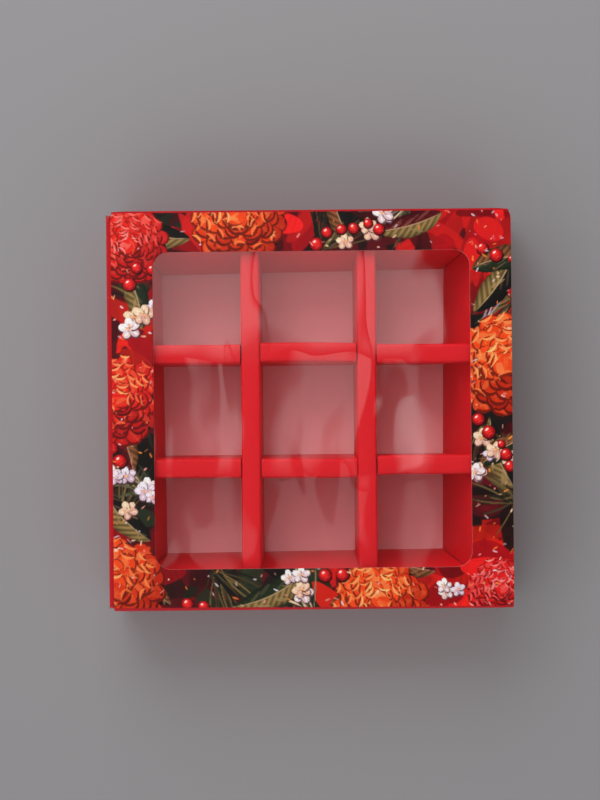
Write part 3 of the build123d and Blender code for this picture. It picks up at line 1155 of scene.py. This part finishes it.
# the inks are written as sRGB, and the mesh holds them as linear light
linear = np.where(tones < 0.04045, tones / 12.92, ((tones + 0.055) / 1.055) ** 2.4)
height = np.full(skin.shape[:2], sleeve_high[2])
height[:, [0, -1]] -= print_lift
points = np.concatenate([skin + sleeve_middle[:2], height[..., None]], -1)
mesh = new_mesh("sleeve_print", handled(points), grid_faces(*skin.shape[:2]))
inks = mesh.attributes.new("print", "FLOAT_COLOR", "POINT")
inks.data.foreach_set("color", np.pad(linear, ((0, 0), (0, 1)), constant_values=1).ravel())
mesh.shade_smooth()


def print_material():
    """Laminated print: the painted colours, faintly mottled by the board's grain under a
    satin film with its own slight orange peel."""
    material, tree, shader = new_material("laminated print")
    colours = tree.nodes.new("ShaderNodeAttribute")
    colours.attribute_name = "print"
    grain = placed_group(tree, grain_group, Fibre_Scale=2600, Cloud_Scale=160)
    level = ranged(tree, grain.outputs["Mask"], mottle_low, mottle_high, *mottle_range)
    rough = ranged(tree, grain.outputs["Mask"], grain_low, grain_high, *print_roughness)
    mottle = tree.nodes.new("ShaderNodeVectorMath")
    mottle.operation = "SCALE"
    tree.links.new(colours.outputs["Color"], mottle.inputs[0])
    tree.links.new(level, mottle.inputs["Scale"])
    normal = bumped(tree, grain.outputs["Height"], orange_peel)
    tree.links.new(mottle.outputs["Vector"], shader.inputs["Base Color"])
    tree.links.new(rough, shader.inputs["Roughness"])
    tree.links.new(normal, shader.inputs["Normal"])
    shader.inputs["Specular IOR Level"].default_value = print_gloss
    return material


mesh.materials.append(print_material())
skin_piece = new_object("sleeve_print", mesh)
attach(skin_piece, "sleeve")
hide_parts("sleeve")

# Stage. A plain pale floor, a soft surround, one large lamp like a window beyond the box's far
# side, softboxes overhead with gaps between them that the film mirrors, and the camera
# straight above the box, a little off its middle.

camera_height = 600.0 * MM
camera_offset = (-4.45 * MM, 3.51 * MM)
box_turn = 0.55
focal_pixels = 1656.0
frame_height = 800.0
sensor = 36.0
lens_near = 0.01
floor_tone = (0.31, 0.30, 0.31)
floor_roughness = 0.9
floor_reach = 14.0
# the surround and the window lamp start from a separate program's fit to the floor's shading
surround = ((0.0, 0.615), (0.40, 0.615), (0.60, 1.06), (0.75, 0.885), (0.88, 0.055))
surround_bias = (-0.54, -0.62)
window_place = (-0.205, 0.687, 0.599)
window_size = 0.70
window_brightness = 2.72
ceiling = 1.035
softboxes = (
    # low and high x, low and high y in metres, and how bright each looks. Most edges here come
    # from the fit to the film's reflections, and so do the strip light's, moved by up to 3 mm. The
    # brightness was set one by one
    (-0.440, -0.048, 0.056, 0.420, 1.00),
    (-0.048, 0.056, 0.056, 0.420, 0.81),
    (0.056, 0.115, 0.056, 0.420, 0.95),
    (-0.440, -0.138, -0.060, 0.056, 0.66),
    (-0.098, -0.066, -0.060, 0.056, 0.68),
    (-0.026, 0.054, -0.060, 0.056, 0.73),
    (0.094, 0.115, -0.060, 0.056, 0.45),
    (-0.440, -0.138, -0.350, -0.060, 0.35),
    (-0.098, -0.066, -0.350, -0.060, 0.35),
    (-0.026, 0.054, -0.350, -0.060, 0.35),
    (0.094, 0.115, -0.350, -0.060, 0.35),
)
strip_light = (0.083, 0.107, -0.053, -0.014, 1.00)
strip_drop = 0.01
softbox_fade = (0.007, 0.020)
strip_fade = (0.006, 0.006)


def flat_floor():
    """A flat square on the surface that the box stands on."""
    share = np.linspace(-floor_reach, floor_reach, 3)
    points = np.stack(np.broadcast_arrays(share[:, None], share[None, :], 0.0), -1)
    mesh = new_mesh("floor", points, grid_faces(3, 3)[:, ::-1])
    material, _, shader = new_material("pale floor")
    shader.inputs["Base Color"].default_value = (*floor_tone, 1)
    shader.inputs["Roughness"].default_value = floor_roughness
    mesh.materials.append(material)
    return new_object("floor", mesh)


def area_lamp(name, place, width, depth, brightness):
    """A flat rectangular lamp at place that faces straight down. Its power is its brightness
    times its area times pi, so that it looks as bright as brightness says."""
    lamp = bpy.data.lights.new(name, "AREA")
    lamp.shape = "RECTANGLE"
    lamp.size, lamp.size_y = width, depth
    lamp.energy = brightness * width * depth * math.pi
    holder = new_object(name, lamp)
    holder.location = place
    return holder


def faded(lamp, size, fade):
    """Makes a lamp fade out towards its edges: its strength grows evenly from 0 at an edge to
    1 a fade's width in, along both its sides."""
    lamp.use_nodes = True
    tree = lamp.node_tree
    place = parted(tree, tree.nodes.new("ShaderNodeNewGeometry").outputs["Parametric"])
    shares = []
    for axis in (0, 1):
        away = sums(tree, "ABSOLUTE", sums(tree, "SUBTRACT", place[axis], 0.5))
        shares.append(ranged(tree, away, 0.5 - fade[axis] / size[axis], 0.5, 1.0, 0.0))
    strength = sums(tree, "MULTIPLY", *shares)
    tree.links.new(strength, tree.nodes["Emission"].inputs["Strength"])


def overhead(name, low_x, high_x, low_y, high_y, brightness, height, fade):
    """A softbox level with the ceiling, widened by half its fade on every side."""
    place = ((low_x + high_x) / 2, (low_y + high_y) / 2, height)
    size = (high_x - low_x + fade[0], high_y - low_y + fade[1])
    holder = area_lamp(name, place, *size, brightness)
    faded(holder.data, size, fade)


def window_light():
    """A large soft lamp up and to the far side, like a window, turned to face the box. It is
    near enough for its light to fall off over the floor, and the film doesn't mirror it."""
    holder = area_lamp("window_light", window_place, window_size, window_size, window_brightness)
    holder.rotation_euler = (-Vector(window_place)).to_track_quat("-Z", "Y").to_euler()
    holder.visible_glossy = False


def surround_sky():
    """A soft surround: brightness over the height of the direction, from 0 level to 1 straight
    up where it is dark, times 1 plus the bias for how far the direction points along X and Y."""
    world = bpy.data.worlds.new("surround")
    world.use_nodes = True
    tree = world.node_tree
    direction = parted(tree, tree.nodes.new("ShaderNodeTexCoord").outputs["Generated"])
    ramp = tree.nodes.new("ShaderNodeValToRGB")
    stops = ramp.color_ramp.elements
    while len(stops) < len(surround):
        stops.new(1)
    for stop, (height, level) in zip(stops, surround):
        stop.position = height
        stop.color = (level, level, level, 1)
    tree.links.new(direction["Z"], ramp.inputs["Fac"])
    tree.links.new(ramp.outputs["Color"], tree.nodes["Background"].inputs["Color"])
    bias = sums(tree, "MULTIPLY_ADD", direction["X"], surround_bias[0], 1.0)
    bias = sums(tree, "MULTIPLY_ADD", direction["Y"], surround_bias[1], bias)
    tree.links.new(bias, tree.nodes["Background"].inputs["Strength"])
    return world


flat_floor()
for number, softbox in enumerate(softboxes, start=1):
    overhead(f"softbox_{number}", *softbox, ceiling, softbox_fade)
overhead("strip_light", *strip_light, ceiling - strip_drop, strip_fade)
window_light()
bpy.context.scene.world = surround_sky()
bpy.context.scene.view_settings.view_transform = "Standard"

lens = bpy.data.cameras.new("camera")
lens.sensor_width = sensor
lens.lens = focal_pixels / frame_height * sensor
lens.clip_start = lens_near
camera = new_object("camera", lens)
camera.location = (
    sleeve_middle[0] + camera_offset[0],
    sleeve_middle[1] + camera_offset[1],
    sleeve_high[2] + camera_height,
)
camera.rotation_euler = (0, 0, -math.radians(box_turn))
bpy.context.scene.camera = camera
